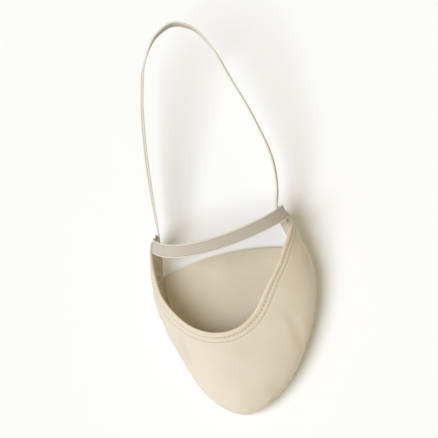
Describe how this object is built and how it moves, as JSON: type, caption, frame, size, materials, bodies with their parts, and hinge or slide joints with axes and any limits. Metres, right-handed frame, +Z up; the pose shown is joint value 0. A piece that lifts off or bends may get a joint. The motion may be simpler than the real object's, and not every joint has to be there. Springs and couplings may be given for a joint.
{
  "type": "gymnastics half shoe",
  "caption": "Soft half shoe for gymnastics: a thin beige fabric upper over toes and ball with a suede patch below, held by flat elastics over the instep and round the heel.",
  "frame": {"origin": "on the floor, under the middle of the bounding box", "axes": "+Z up, +Y from the toe back to the heel, +X to the outer side of the foot"},
  "size_m": [0.094, 0.2278, 0.05],
  "materials": {
    "upper": "matte stretch microfibre",
    "collar_hem": "folded and stitched edge",
    "outsole": "suede",
    "insole": "napped textile",
    "instep_strap": "ribbed woven elastic",
    "heel_strap": "ribbed woven elastic"
  },
  "bodies": {
    "root": {"upper": "upper", "collar_hem": "collar_hem", "outsole": "outsole", "insole": "insole", "instep_strap": "instep_strap", "heel_strap": "heel_strap"}
  },
  "joints": []
}
